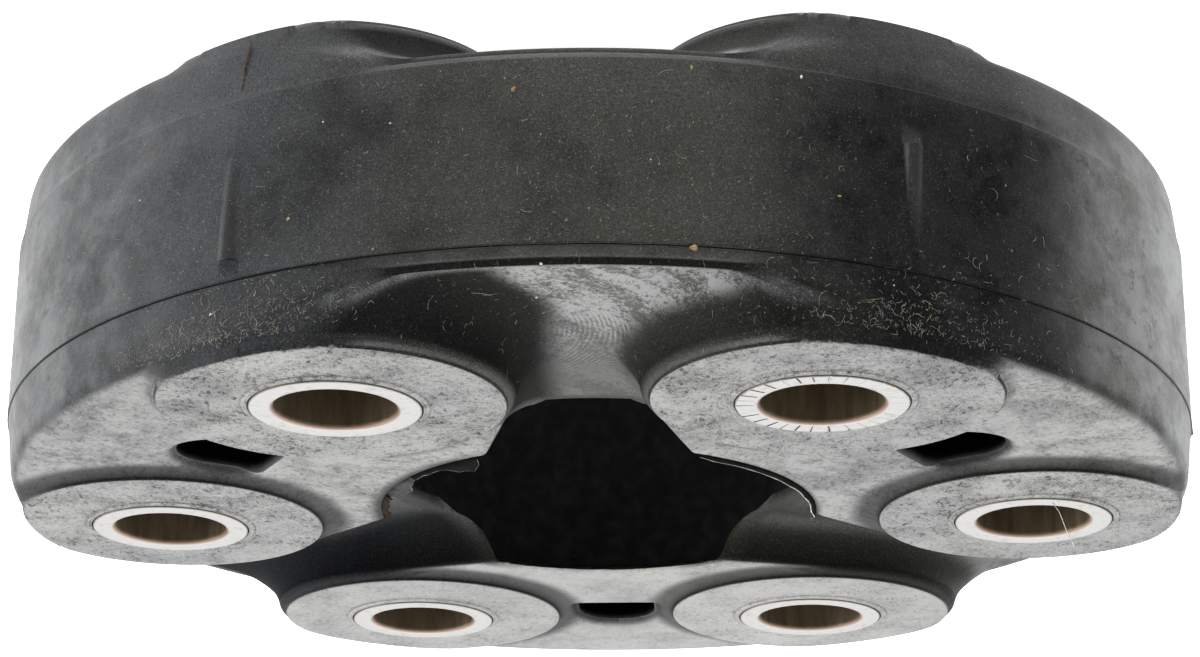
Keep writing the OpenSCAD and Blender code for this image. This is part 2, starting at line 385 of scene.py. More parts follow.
def outerAngles():
    # close together where a rib, a boss's edge or a flank comes to the wall, wider elsewhere
    steps = [(1.4, 0.115), (4.2, 0.56), (9.6, 0.3), (30.0, 0.68)]
    webSteps = [(1.4, 0.115), (4.2, 0.56), (18.5, 0.3), (30.0, 0.68)]
    angles = []
    for i in range(sleeveCount):
        for side in (-1, 1):
            webSide = 1 if i % 2 == 0 else -1
            at = 0.0
            for end, step in (webSteps if side == webSide else steps):
                count = max(round((end - at) / (step * 2 if i in (1, 2) else step)), 1)  # fewer columns behind
                for n in range(count):
                    angles.append(60 * i + side * (at + (end - at) * n / count))
                at = end
        angles.append(60 * i + 30)
    return np.unique(np.round(np.array(angles) % 360, 6))


def ring(r, angles, cx=0.0, cy=0.0):
    a = np.radians(angles)
    return np.column_stack([cx + r * np.cos(a), cy + r * np.sin(a)])


def clearOf(points, taken, gap):
    tree = kdtree.KDTree(len(taken))
    for i, p in enumerate(taken):
        tree.insert((p[0], p[1], 0), i)
    tree.balance()
    return np.array([p for p in points if tree.find((p[0], p[1], 0))[2] > gap])


def turned(points, degrees):
    a = math.radians(degrees)
    return np.column_stack([points[:, 0] * math.cos(a) - points[:, 1] * math.sin(a),
                            points[:, 0] * math.sin(a) + points[:, 1] * math.cos(a)])


def flankLine(offset, fine):
    # points along a straight flank, from the hole's edge to the boss, at an offset from it
    reach = rubber["pitchR"] - rubber["holeR"]
    turn = math.asin(rubber["flankR"] / reach)
    half = math.radians(30)
    a = half + turn
    corner = rubber["holeR"] * np.array([math.cos(half), math.sin(half)])
    start = corner + offset * np.array([-math.sin(a), math.cos(a)])
    way = np.array([math.cos(a), math.sin(a)])
    b = start @ way
    first = -b + math.sqrt(b * b - start @ start + rubber["holeR"] ** 2)
    step = 0.55 if fine else 0.9
    runs = np.arange(reach * math.cos(turn), -9, -step)  # in step with the other offsets
    runs = np.concatenate([[first], runs[runs > first + 0.25][::-1]])
    return start + runs[:, None] * way


flankOffsets = (-0.9, -0.2, 0.3, 0.62, 0.84, 0.93, 0.99, 1.05, 1.14, 1.3, 1.6, 2.0, 2.5, 3.1, 3.8, 4.6, 5.5, 6.5)
sharpOffsets = (0.62, 0.93, 0.99, 1.14)  # the mesh's edges run along these
plainOffsets = (-0.9, 0.3, 0.62, 0.93, 1.14, 1.6, 2.5, 3.8, 5.5)  # those kept on the lower side


def planPoints(fine):
    # rings along every feature, so that the mesh's edges follow the mould's edges
    outer = outerAngles()
    around = np.arange(rubber["bossColumns"]) * 360.0 / rubber["bossColumns"]
    turns = [math.radians(60 * i) for i in range(sleeveCount)]
    centres = [(rubber["pitchR"] * math.cos(t), rubber["pitchR"] * math.sin(t)) for t in turns]

    # straight flanks, whose first points are on the hole's edge
    lines, mouths, chains = [], [], []
    offsets = flankOffsets if fine else plainOffsets
    for offset in flankOffsets:
        run = flankLine(offset, fine)
        for i in range(3):
            for side in (-1, 1):
                here = turned(run * (1, side), -30 + 120 * i)
                mouths.append(math.degrees(math.atan2(here[0, 1], here[0, 0])) % 360)
                if offset in offsets:
                    lines.append(here[1:])
                    if offset in sharpOffsets:
                        chains.append(here[1:])
    mouths = np.array(mouths)
    inner = np.arange(rubber["holeColumns"]) * 360.0 / rubber["holeColumns"]
    apart = np.abs((inner[:, None] - mouths[None, :] + 180) % 360 - 180).min(1)
    inner = np.sort(np.concatenate([inner[apart > 0.8], mouths]))
    edges = [ring(rubber["holeR"], inner), ring(rubber["wallR"], outer)]
    edges += [ring(rubber["boreR"], around, *c) for c in centres]

    faceRings = [8.62, 8.66, 8.7, 8.74, 8.84, 9.1, 9.25, 9.29, 9.33, 9.37, 9.41, 9.6, 10.4, 11.8, 13.4, 15.0,
                 16.2, 16.6, 16.72, 16.82, 16.9, 16.96, 17.0, 17.03, 17.06, 17.1, 17.16, 17.22]
    padRings = [17.36, 17.55, 17.8, 18.1, 18.5, 19.0, 19.7, 20.6]
    footRings = [rubber["flankR"] + d for d in offsets if d > 0.45]
    if not fine:
        faceRings = [8.62, 8.7, 9.25, 9.33, 9.41, 13.4, 16.2, 16.82, 16.96, 17.0, 17.06, 17.1, 17.16]
        padRings = [17.4, 18.2, 19.4]
    rounds = []
    for cx, cy in centres:
        kinds = (("face", faceRings), ("pad", padRings), ("foot", footRings))
        for kind, r in [(kind, r) for kind, radii in kinds for r in radii]:
            p = ring(r, around, cx, cy)
            far = np.hypot(p[:, 0], p[:, 1])
            keep = (far < 62.5) & (far > rubber["holeR"] + 0.35)
            flank, _, beside = flankDistance(*foldToPad(p[:, 0], p[:, 1]))
            if kind == "pad":
                keep &= flank < 0.1
            if kind == "foot":
                keep &= ~beside & (flank > 0.1)
            rounds.append(p[keep])
            if r in (16.96, 17.0, 17.06, 17.16) or kind == "foot" and r < rubber["flankR"] + 1.2:
                chains.append(p[keep])
    points = np.vstack(rounds)
    lines = np.vstack(lines)
    _, boss, _ = flankDistance(*foldToPad(lines[:, 0], lines[:, 1]))
    lines = lines[boss > rubber["bossR"] + 0.3]
    points = np.vstack([points, clearOf(lines, points, 0.1)])

    # rim, lip and the leaning wall
    rims = [62.75, 63.05, 63.35, 63.6, 63.77, 63.83, 63.89, 63.97, 64.06, 64.15, 64.23, 64.36, 64.5, 64.6, 64.68,
            64.76, 64.84, 64.92, 64.98, 65.03, 65.09, 65.125, 65.142]
    if not fine:
        rims = [62.8, 63.3, 63.76, 63.84, 64.2, 64.5, 64.64, 64.76, 64.88, 64.98, 65.07]
    rimPoints = np.vstack([ring(r, outer) for r in rims])
    filling = [ring(r, inner) for r in (24.03, 24.12, 24.3, 24.6, 25.0, 25.5)]

    # pockets
    mid = rubber["pocketOut"] - rubber["pocketHalf"]
    steps = (-1.6, -0.7, -0.36, -0.3, -0.22, -0.14, -0.06, 0.0, 0.06, 0.16, 0.32, 0.6, 0.95, 1.35)
    for d in steps if fine else (-1.6, -0.7, -0.36, -0.22, -0.1, 0.0, 0.16, 0.6, 1.35):
        h, c = rubber["pocketHalf"] + d, rubber["pocketCorner"] + d
        inner, corner = rubber["pocketIn"] + rubber["pocketCorner"], rubber["pocketHalf"] - rubber["pocketCorner"]
        side = [(x, h) for x in np.arange(mid - 0.6, inner + 0.2, -0.6)]
        side += [(inner + c * math.cos(t), corner + c * math.sin(t)) for t in np.radians(np.linspace(90, 180, 8))]
        run = [(mid + h * math.cos(t), h * math.sin(t)) for t in np.radians(np.linspace(-90, 90, 27))] + side
        run += [(rubber["pocketIn"] - d, y) for y in np.linspace(2.1, -2.1, 8)]
        run += [(x, -y) for x, y in reversed(side)]
        for i in range(3):
            filling.append(turned(np.array(run), -30 + 120 * i))
            if d < 0.2:
                chains.append(np.vstack([filling[-1], filling[-1][:1]]))
    filling = np.vstack(filling)
    flank, _, _ = flankDistance(*foldToPad(filling[:, 0], filling[:, 1]))
    far = np.hypot(filling[:, 0], filling[:, 1])
    filling = filling[(far > 26) | (flank < -1.2) | (flank > 6.5)]
    points = np.vstack([points, clearOf(filling, points, 0.03)])

    # even filling elsewhere
    spacing = 1.2 if fine else 2.0
    rows = np.arange(-66, 66, spacing * 0.866)
    across = np.arange(-66, 66, spacing)
    grid = np.vstack([np.column_stack([across + (n % 2) * spacing / 2, np.full(len(across), r)])
                      for n, r in enumerate(rows)])
    far = np.hypot(grid[:, 0], grid[:, 1])
    _, boss, _ = flankDistance(*foldToPad(grid[:, 0], grid[:, 1]))
    keep = (far > rubber["holeR"] + 0.5) & (far < 62.3) & (boss > rubber["boreR"] + 0.3)
    points = np.vstack([points, clearOf(grid[keep], points, spacing * 0.6)])
    return edges, np.vstack([points, rimPoints]), chains


def triangulate(edges, points, chains):
    counts = [len(e) for e in edges]
    starts = np.concatenate([[0], np.cumsum(counts)[:-1]])
    everything = np.vstack(edges + [points])
    links = [(int(s) + n, int(s) + (n + 1) % c) for s, c in zip(starts, counts) for n in range(c)]
    known = {(round(x, 5), round(y, 5)): n for n, (x, y) in enumerate(everything)}
    for chain in chains:
        ends = [(known.get((round(x, 5), round(y, 5))), x, y) for x, y in chain]
        links += [(a, b) for (a, ax, ay), (b, bx, by) in zip(ends, ends[1:])
                  if a is not None and b is not None and 0 < math.hypot(bx - ax, by - ay) < 1.0]
    spots, _, faces, origin, _, _ = delaunay_2d_cdt([Vector(p) for p in everything], links, [], 0, 1e-5)
    flat = np.array([(p.x, p.y) for p in spots])
    faces = np.array([f for f in faces if len(f) == 3])
    found = {o: n for n, given in enumerate(origin) for o in given}
    loops = [[found[int(s) + n] for n in range(c)] for s, c in zip(starts, counts)]
    middle = flat[faces].mean(1)
    _, boss, _ = flankDistance(*foldToPad(middle[:, 0], middle[:, 1]))
    chord = rubber["boreR"] * (1 - math.cos(math.pi / rubber["bossColumns"]))
    inside = (np.hypot(middle[:, 0], middle[:, 1]) > rubber["holeR"] - 0.01) & (boss > rubber["boreR"] - chord)
    faces = faces[inside]
    a, b, c = (flat[faces[:, k]] for k in range(3))
    area = (b[:, 0] - a[:, 0]) * (c[:, 1] - a[:, 1]) - (b[:, 1] - a[:, 1]) * (c[:, 0] - a[:, 0])
    faces[area < 0] = faces[area < 0][:, ::-1]
    return flat, faces, loops


def spreadBosses(flat):
    # two bosses are wider on their pads' side, so points there are turned a little about the middle
    far = np.hypot(flat[:, 0], flat[:, 1])
    turn = np.zeros(len(flat))
    for angle, way in rubber["spreadBosses"]:
        a = math.radians(angle)
        dx, dy = flat[:, 0] - rubber["pitchR"] * math.cos(a), flat[:, 1] - rubber["pitchR"] * math.sin(a)
        r = np.hypot(dx, dy) + 1e-9
        facing = way * (dy * math.cos(a) - dx * math.sin(a)) / r
        share = soft(facing, 0.0, 0.5) * soft(r, 11.0, 17.0) * (1 - soft(r, 17.5, 19.8))
        turn += way * share * (1 - soft(far, 64.2, 64.9)) * rubber["spread"] / far
    return np.column_stack([flat[:, 0] * np.cos(turn) - flat[:, 1] * np.sin(turn),
                            flat[:, 0] * np.sin(turn) + flat[:, 1] * np.cos(turn)])


def ribHeight(angles, z):
    # bars that come out of the wall towards one end, up and down by turns
    out = np.zeros(len(angles))
    for i in range(sleeveCount):
        up = i % 2 == 1
        across = np.radians((angles - 60 * i + 180) % 360 - 180) * rubber["bandR"]
        end = rubber["ribHigh"] if up else rubber["ribLow"]
        along = (end - z) if up else (z - end)
        if along < 0 or z < rubber["ribLow"] or z > rubber["ribHigh"]:
            continue
        proud = rubber["ribProud"] - along * math.tan(math.radians(rubber["ribLean"]))
        bar = proud - rubber["ribR"] + np.sqrt(np.maximum(rubber["ribR"] ** 2 - across ** 2, 0))
        out = np.maximum(out, np.where(np.abs(across) < rubber["ribR"], bar, 0))
    return out


def makeRubber():
    points, faces = [], []

    def add(block):
        start = sum(len(p) for p in points)
        points.append(block)
        return start

    halves = []
    for up in (1, -1):
        flat, tris, loops = triangulate(*planPoints(up > 0))
        z = topHeight(flat[:, 0], flat[:, 1])
        start = add(np.column_stack([spreadBosses(flat), up * z]))
        faces.extend((tris if up > 0 else tris[:, ::-1]) + start)
        halves.append([[start + n for n in loop] for loop in loops])

    def strip(upper, lower, outward):
        n = len(upper)
        for k in range(n):
            quad = (upper[k], lower[k], lower[(k + 1) % n], upper[(k + 1) % n])
            faces.append(quad if outward else quad[::-1])

    # outer wall between the two parting lines
    angles = outerAngles()
    rows = [(9.47, 65.08), (9.44, 64.9), (9.40, 64.92), (9.37, 65.2)]
    rows += [(z, rubber["bandR"]) for z in (9.33, 9.2, 7.56, 7.5, 7.44, 4.6, 1.6, -1.2, -3.0, -3.44, -3.5, -3.56,
                                       -9.2, -9.34)]
    rows += [(-9.4, 65.26), (-9.44, 65.19), (-9.47, 65.18)]
    last = halves[0][1]
    for z, r in rows:
        wobble = 0.03 * np.sin(np.radians(angles) * 7 + 1.3) + 0.02 * np.sin(np.radians(angles) * 23)
        ripple = 0.05 * np.sin(np.radians(angles) * 11) + 0.03 * np.sin(np.radians(angles) * 37 + 2)
        radius = r + ribHeight(angles, z) + (wobble if abs(z) < 9.3 else 0)
        a = np.radians(angles)
        height = z + ripple * (0.4 if abs(z) > 9.2 else 0.0)
        start = add(np.column_stack([radius * np.cos(a), radius * np.sin(a), height]))
        row = [start + k for k in range(len(angles))]
        strip(last, row, True)
        last = row
    strip(last, halves[1][1], True)

    # the hole through the middle, and a seat for each sleeve
    for n in [0] + list(range(2, 2 + sleeveCount)):
        upper, lower = halves[0][n], halves[1][n]
        everything = np.vstack(points)
        top, bottom = everything[upper], everything[lower]
        deep = (top - bottom)[:, 2:]
        down = np.array([0, 0, -1.0])
        last = upper
        for step in ((0.1, 0.5, 3.0, -3.0, -0.5, -0.1) if n == 0 else (0.3, -0.3)):
            start = add(top + down * (step if step > 0 else deep + step))
            row = [start + k for k in range(len(upper))]
            strip(last, row, False)
            last = row
        strip(last, lower, False)
    return meshPiece("rubberBody", np.vstack(points) * mm, faces)


rubberBody = makeRubber()
print("rubber body", len(rubberBody.data.polygons), "faces")


rubberLook = dict(
    deep=(0.0040, 0.0043, 0.0048, 1), wall=(0.0225, 0.0220, 0.0150, 1), wallBlue=(0.0170, 0.0195, 0.0230, 1),
    chalk=(0.315, 0.315, 0.312, 1), chalkWarm=(0.385, 0.38, 0.365, 1), pit=(0.018, 0.018, 0.019, 1),
    farChalkPaintedLight=(0.44, 0.44, 0.43, 1), dirtyChalk=(0.11, 0.11, 0.113, 1), salt=(0.58, 0.57, 0.53, 1),
    paleEdgeAndHighlight=(0.7, 0.7, 0.68, 1), seatRing=(0.55, 0.54, 0.52, 1),
    web=(0.285, 0.285, 0.282, 1), haze=(0.20, 0.205, 0.21, 1), dust=(0.40, 0.37, 0.26, 1),
    pocket=(0.0012, 0.0012, 0.0014, 1), pocketBrink=(0.17, 0.17, 0.175, 1), hole=(0.0125, 0.0130, 0.0145, 1),
    specular=0.24, holeSpecular=0.05,
    motes=((1.2, 0.70, 0.085), (2.3, 0.62, 0.060), (4.4, 0.60, 0.045)),  # how close, how few and how wide
)


def rubberFinish():
    f = makeFinish("mouldedRubber")
    c = rubberLook
    spot = f.place()
    x, y, z = f.axes(spot)
    facing = abs(f.axes(f.node("ShaderNodeTexCoord", out="Normal"))[2])
    far = (x * x + y * y) ** 0.5
    high = abs(z)
    flat = f.rise(facing, 0.62, 0.99)

    # folded places: from the nearest sleeve, and from the middle of the nearest pad
    angle = y.work("ARCTAN2", y, x)
    fold = angle.work("PINGPONG", angle, math.pi / sleeveCount)
    boss = ((far * fold.work("COSINE", fold) - rubber["pitchR"]) ** 2 + (far * fold.work("SINE", fold)) ** 2) ** 0.5
    fromPad = angle.work("PINGPONG", angle + math.pi / 6, math.pi / 3)
    half = math.radians(30)
    padward = ((abs(x) - rubber["pitchR"] * math.sin(half)) * math.cos(half)
               + (y + rubber["pitchR"] * math.cos(half)) * math.sin(half)) / boss
    spread = padward * f.rise(padward, 0.0, 0.5) * f.rise(boss, 11.0, 18.0) * (1 - f.rise(boss, 18.7, 19.9))
    boss = boss - rubber["spread"] * spread * (1 - f.rise(y, -24.5, -21.5)) * (1 - f.rise(far, 64.2, 64.9))

    on, across = far * angle.work("COSINE", fromPad), far * angle.work("SINE", fromPad)
    lean = half + math.asin(rubber["flankR"] / (rubber["pitchR"] - rubber["holeR"]))
    flank = ((across - rubber["holeR"] * math.sin(half)) * math.cos(lean)
             - (on - rubber["holeR"] * math.cos(half)) * math.sin(lean))

    grain = f.noise(spot, 5.5, 2.0, 0.65)
    mottle = f.noise(spot, 1.7, 3.0, 0.6, 0.5)
    blotch = f.noise(spot, 0.55, 3.0, 0.6, 1.0)
    cloud = f.noise(spot, 0.11, 3.0, 0.55, 2.0)
    broad = f.noise(spot, 0.035, 2.0, 0.5, 3.0)

    # bare rubber, browner in front and bluer to one side, with worn patches
    bare = f.blend(f.rise(x, 2.0, 36.0), c["wall"], c["wallBlue"])
    left = 0 - x
    # painted shade: a darker stretch of the front wall to one side
    paintedGloom = f.rise(left, 12.0, 32.0) * (1 - f.rise(left, 42.0, 57.0)) * (1 - f.rise(y, -34.0, -12.0))
    bare = f.blend(paintedGloom * (0.45 + 1.1 * f.rise(cloud, 0.3, 0.7)), bare, c["deep"])
    bare = f.blend(f.rise(cloud + (mottle - 0.5) * 0.5, 0.42, 0.78) * 0.75, bare, c["deep"])
    bare = f.blend(f.rise(0 - z, 1.0, 15.0) * 0.13, bare, c["haze"])  # painted light: greyer towards the floor, as if lit from it
    bare = f.blend(f.rise(grain, 0.46, 0.74) * f.rise(mottle, 0.25, 0.75) * 0.42, bare, c["haze"])
    bare = f.blend(f.rise(0.5 - grain, 0.02, 0.16) * 0.8, bare, c["deep"])

    # chalky bloom on the boss faces and pads, with dark pits
    ledge = f.rise(boss, 16.85, 17.05) * f.most(f.rise(flank, -0.55, -0.1), f.rise(fromPad, 0.72, 0.86))
    ledge = ledge * f.rise(fromPad, 0.50, 0.56) * (1 - f.rise(boss, 17.9, 18.5))
    onBoss = 1 - f.rise(boss, 16.8, 17.4)
    mark = f.noise(f.place((1000.0, 560.0, 1000.0)), 2.1, 3.0, 0.72, 14.0)
    dirty = f.noise(spot, 0.17, 4.0, 0.66, 21.0)
    pits = f.rise(mark, 0.535, 0.62) * f.rise(dirty + (blotch - 0.5) * 0.5, 0.42, 0.60)
    salt = f.grains(spot, 3.1)
    salt = (1 - f.rise(salt, 0.16, 0.30)) * f.rise(salt.also("Color"), 0.62, 0.70)
    top = flat * f.rise(high, 13.2, 15.6) * (1 - ledge * (0.45 + 0.5 * f.rise(mottle, 0.3, 0.7)))
    coarse = 1 - 0.6 * f.rise(y, -10.0, 30.0)
    uneven = (1.2 + 1.5 * onBoss) * (grain - 0.5) + 1.8 * (mottle - 0.5)
    bloom = 0.90 + (uneven + 1.6 * (blotch - 0.5) + 1.2 * (cloud - 0.5)) * coarse
    chalk = f.blend(f.rise(broad, 0.4, 0.7), c["chalk"], c["chalkWarm"])
    # painted light: the chalk turns paler towards the far side
    chalk = f.blend(f.rise(y, 8.0, 44.0) * 0.30, chalk, c["farChalkPaintedLight"])
    chalk = f.blend(f.rise(dirty + (mottle - 0.5) * 0.3, 0.44, 0.66) * coarse * 0.55, chalk, c["dirtyChalk"])
    chalk = f.blend(salt * 0.5, chalk, c["salt"])
    chalk = f.blend(pits * (0.45 + 0.45 * onBoss) * (1 - f.rise(y, -5.0, 30.0) * 0.7), chalk, c["pit"])
    further = f.rise(y, -31.0, -20.0)  # deeper shade round the four bosses behind
    # a pale line round the edge of each boss face, partly worn edge and partly painted highlight
    edgeWearAndHighlight = (1 - f.rise(abs(boss - 16.95), 0.03, 0.15)) * f.rise(mottle, 0.25, 0.55) * (0.62 - 0.3 * further)
    chalk = f.blend(edgeWearAndHighlight, chalk, c["paleEdgeAndHighlight"])
    # painted shade at the foot of each boss (deeper behind), round the pockets and along the brink of the hole
    foot = f.rise(boss, 16.95, 17.05) * (1 - f.rise(boss - further * 1.5, 17.0, 19.4))
    foot = foot * (0.26 * (1 - f.rise(padward, 0.80, 0.97)) + 0.66 * further)
    fromPocket = (f.most(on - (rubber["pocketOut"] - rubber["pocketHalf"]), 0.0) ** 2 + across ** 2) ** 0.5
    socket = (1 - f.rise(fromPocket, 4.7, 6.4)) * f.rise(on, 39.5, 42.0)
    brink = (1 - f.rise(far, 24.3, 26.2)) * f.rise(x, 10.0, 15.0)
    brink = brink + (1 - f.rise(far, 24.05, 25.0)) * f.rise(left, 7.0, 11.0) * 0.85
    chalk = f.blend(f.most(f.most(foot, socket * 0.5), brink), chalk, c["pit"])
    seat = (1 - f.rise(abs(boss - 9.2), 0.05, 0.16)) * f.rise(mottle, 0.35, 0.6) * 0.5
    chalk = f.blend(seat, chalk, c["seatRing"])
    # a dark seam line round each collar, and painted shade in the narrow gap at each sleeve
    seam = (1 - f.rise(abs(boss - 9.45), 0.02, 0.10)) * f.rise(blotch, 0.46, 0.62) * 0.6
    chalk = f.blend(1 - f.rise(boss, 8.68, 8.80) + seam, chalk, c["deep"])
    colour = f.blend(top * bloom, bare, chalk)

    # the webs are smoother, and smeared towards the rim
    smear = f.noise(f.place((420.0, 150.0, 420.0)), 0.5, 4.0, 0.62, 5.0)
    swirl = f.noise(spot, 0.22, 4.0, 0.6, 12.0)
    fromWeb = angle.work("FLOORED_MODULO", angle + math.pi * 5 / 6, math.pi * 2 / 3) - math.pi / 3
    aside = far * angle.work("SINE", fromWeb)  # rubbed clean on one side, smeared up the cove on the other, which also paints shade on the side away from the light
    clean = 1.0 + 4.5 * f.rise(far, 53.0, 63.5) + 1.2 * (1 - f.rise(far, 38.0, 50.0))
    smeared = 7.6 + 9.0 * f.rise(far, 50.0, 63.5)
    web = (1 - f.rise(aside - clean, -1.2, 3.2)) * f.rise(aside + smeared, -2.6, 1.2)
    web = web * f.rise(facing, 0.52, 0.93) * f.rise(high, 9.0, 10.6) * (1 - f.rise(high, 11.5, 13.2))
    web = web * f.rise(far, 24.8, 26.8) * (1 - f.rise(far, 63.55, 63.85) * 0.95)
    fromTip = f.node("ShaderNodeVectorMath", {"operation": "ADD"}, {0: spot, 1: (-15.0, 47.0, -11.0)})
    prints = f.node("ShaderNodeTexWave", {"wave_type": "RINGS", "rings_direction": "SPHERICAL"},
                    {"Vector": fromTip, "Scale": 0.62, "Distortion": 3.5, "Detail": 1.5,
                     "Detail Scale": 0.2, "Detail Roughness": 0.4})
    touched = web * f.rise(swirl, 0.42, 0.54) * (1 - f.rise(far, 47.0, 53.0)) * f.rise(far, 33.0, 37.0)
    slant = f.node("ShaderNodeCombineXYZ", None, {0: x * 0.75 + y * 0.66, 1: (y * 0.75 - x * 0.66) * 0.22, 2: z})
    rub = f.noise(slant, 0.42, 4.0, 0.66, 15.0)
    patch = f.rise(rub * 1.1 + swirl * 0.7 + (mottle - 0.5) * 0.7 + (grain - 0.5) * 0.7, 0.73, 1.03)
    shine = (0.03 + 1.12 * patch) * (0.16 + 0.84 * f.rise(far, 34.0, 54.0)) * (1 - touched * (1 - prints) * 0.78)
    shine = (shine + touched * prints * 0.14) * (1 - f.rise(mark, 0.55, 0.63) * 0.85)
    colour = f.blend(web * shine * (1 - f.rise(y, -22.0, -6.0) * 0.75), colour, c["web"])
    # painted light and shade at the rim: a lit band along it, painted shade on the step inside it, and the hoods
    # beside it, partly bloom and partly painted highlight
    atWeb = f.rise(fromPad, 0.70, 0.82)
    paintedRimLight = f.rise(far, 63.9, 64.3) * f.rise(high, 9.52, 9.62) * atWeb * (1 - f.rise(high, 10.15, 10.5))
    colour = f.blend(paintedRimLight * (0.04 + 0.20 * f.rise(swirl, 0.35, 0.7)), colour, c["haze"])
    paintedRiserShade = f.rise(far, 63.75, 63.9) * f.rise(high, 10.2, 10.5) * (1 - f.rise(facing, 0.7, 0.95)) * atWeb
    ridgeBloomAndHighlight = f.rise(far, 62.9, 63.6) * (1 - f.rise(far, 64.25, 64.7)) * f.rise(high, 10.1, 10.7)
    ridgeBloomAndHighlight = ridgeBloomAndHighlight * (1 - f.rise(high, 12.2, 14.2)) * (1 - paintedRiserShade)
    ridgeBloomAndHighlight = ridgeBloomAndHighlight * (0.25 + 0.75 * f.rise(blotch + (grain - 0.5), 0.3, 0.7))
    colour = f.blend(ridgeBloomAndHighlight * 0.55, colour, c["haze"])
    cove = (1 - f.rise(high, 14.5, 16.0)) * f.rise(high, 10.6, 11.6) * f.rise(far, 26.0, 30.0)
    wipe = f.noise(f.place((260.0, 260.0, 900.0)), 0.35, 4.0, 0.62, 6.0)
    colour = f.blend(cove * f.rise(wipe, 0.56, 0.80) * 0.16, colour, c["haze"])

    # bloom on the two sides of the wall, in rubbed clouds with dark scuffs, and painted sheen where the wall turns
    # away
    rubbed = f.noise(f.place((1000.0, 420.0, 900.0)), 0.17, 6.0, 0.68, 7.0)
    scuff = f.noise(f.place((1000.0, 500.0, 800.0)), 0.6, 4.0, 0.72, 13.0)
    sides = f.rise(x, 28.0, 63.0) * 0.92 + f.rise(left, 40.0, 62.0) * 1.1
    sides = sides * (1 - flat) * f.rise(far, 58.0, 62.0)
    bloomCoverAndRimLight = (0.10 + 0.90 * f.rise(rubbed, 0.36, 0.66)) * (1 - f.rise(scuff, 0.55, 0.68) * 0.8)
    # painted rim light at the outermost left and right of the wall
    bloomCoverAndRimLight = bloomCoverAndRimLight + f.rise(abs(x), 56.0, 64.0) * 0.35
    colour = f.blend(sides * bloomCoverAndRimLight * 0.78, colour, c["haze"])

    # each rib is pale along one side, partly worn bloom and partly painted light, with a painted shadow along its
    # other side
    ribOff = (angle.work("FLOORED_MODULO", angle + math.pi / 6, math.pi / 3) - math.pi / 6) * rubber["bandR"]
    ribOn = f.rise(far, 65.38, 65.75) * f.rise(z, -4.2, -3.2) * (1 - f.rise(z, 7.2, 8.2))
    ribBloomAndLight = (1 - f.rise(abs(ribOff - 0.95), 0.08, 0.34)) * (0.34 + 0.08 * f.rise(x, -10.0, 10.0))
    colour = f.blend(ribOn * ribBloomAndLight, colour, c["haze"])
    # painted shadow along the rib's other side
    colour = f.blend(ribOn * (1 - f.rise(abs(ribOff + 0.55), 0.5, 0.95)) * 0.85, colour, c["deep"])

    # dust: fine bright specks that gather in places
    gather = f.rise(swirl + (blotch - 0.5) * 0.6, 0.34, 0.62) * f.rise(far, 25.0, 26.0)
    gather = gather * (1 - top * 0.8) * (1 - web * 0.6) * (1 - f.rise(y, -12.0, 8.0))
    for size, few, wide in c["motes"]:
        mote = f.grains(spot, size)
        fleck = 1 - f.rise(mote, wide * size * 0.5, wide * size + 0.03)
        fleck = fleck * f.rise(mote.also("Color"), few, few + 0.1)
        colour = f.blend(fleck * gather * 0.62, colour, c["dust"])

    rough = 0.50 + 0.22 * (blotch - 0.5) + 0.14 * top - 0.10 * web
    bumps = grain * 0.55 + mottle * 0.6 + blotch * 0.6 - pits * top * 1.0
    bumps = bumps + smear * web * 0.7 + prints * touched * 0.5
    bumps = bumps + f.noise(spot, 0.28, 3.0, 0.5, 8.0) * 1.4 * (1 - top)
    relief = f.bump(bumps, 0.6, 0.00014)
    f.give(BaseColor=colour, Roughness=rough, Normal=relief, SpecularIORLevel=c["specular"])

    # painted shade: a darker, less glossy copy of the rubber in the coves (more on their unlit side), at the feet
    # of the bosses behind, on the step inside the rim and where the front wall lies in gloom, and also in dirty
    # parts of the wall
    shadedCopy = f.node("ShaderNodeBsdfPrincipled", None,
                 {"Base Color": f.blend(0.65, colour, c["deep"]), "Roughness": 0.8,
                  "Normal": relief, "Specular IOR Level": c["holeSpecular"]})
    paintedCoveShade = f.rise(high, 10.5, 10.95) * (1 - f.rise(high, 15.4, 16.0)) * f.rise(far, 24.0, 27.0)
    paintedCoveShade = paintedCoveShade * (1 - f.rise(far, 62.4, 63.9)) * (1 - web)
    paintedCoveShade = paintedCoveShade * (0.55 + 0.42 * f.rise(aside, -6.0, 2.0)) * (1 - ridgeBloomAndHighlight * 0.7)
    wall = f.rise(far, 61.0, 63.5) * (1 - f.rise(facing, 0.4, 0.75)) * (1 - f.rise(abs(x), 46.0, 58.0) * 0.85)
    gloomAndDirt = paintedGloom * 0.8 + f.rise(cloud * 0.75 + broad * 0.35 + (blotch - 0.5) * 0.4, 0.48, 0.78) * 0.46
    gloomAndDirt = gloomAndDirt * wall * (1 - f.rise(0 - z, 8.0, 13.0) * 0.7) * (1 - ribOn * 0.7)
    shadeAndDirt = f.least(paintedCoveShade + gloomAndDirt + paintedRiserShade + foot * further * f.rise(high, 15.2, 15.9) * 0.95, 1.0)
    f.finishWith(f.node("ShaderNodeMixShader", None, {0: shadeAndDirt, 1: Wire(f, f.shader.outputs[0]), 2: shadedCopy}))
    return f.holder


def shadedFinish(name, first, second, specular):  # for the middle hole and the pockets, which little light reaches
    f = makeFinish(name)
    grain = f.noise(f.place(), 0.5, 4.0, 0.6)
    f.give(BaseColor=f.blend(f.rise(grain, 0.35, 0.8), first, second), Roughness=0.66 + 0.2 * grain,
           Normal=f.bump(grain, 0.4, 0.0001), SpecularIORLevel=specular)
    return f.holder


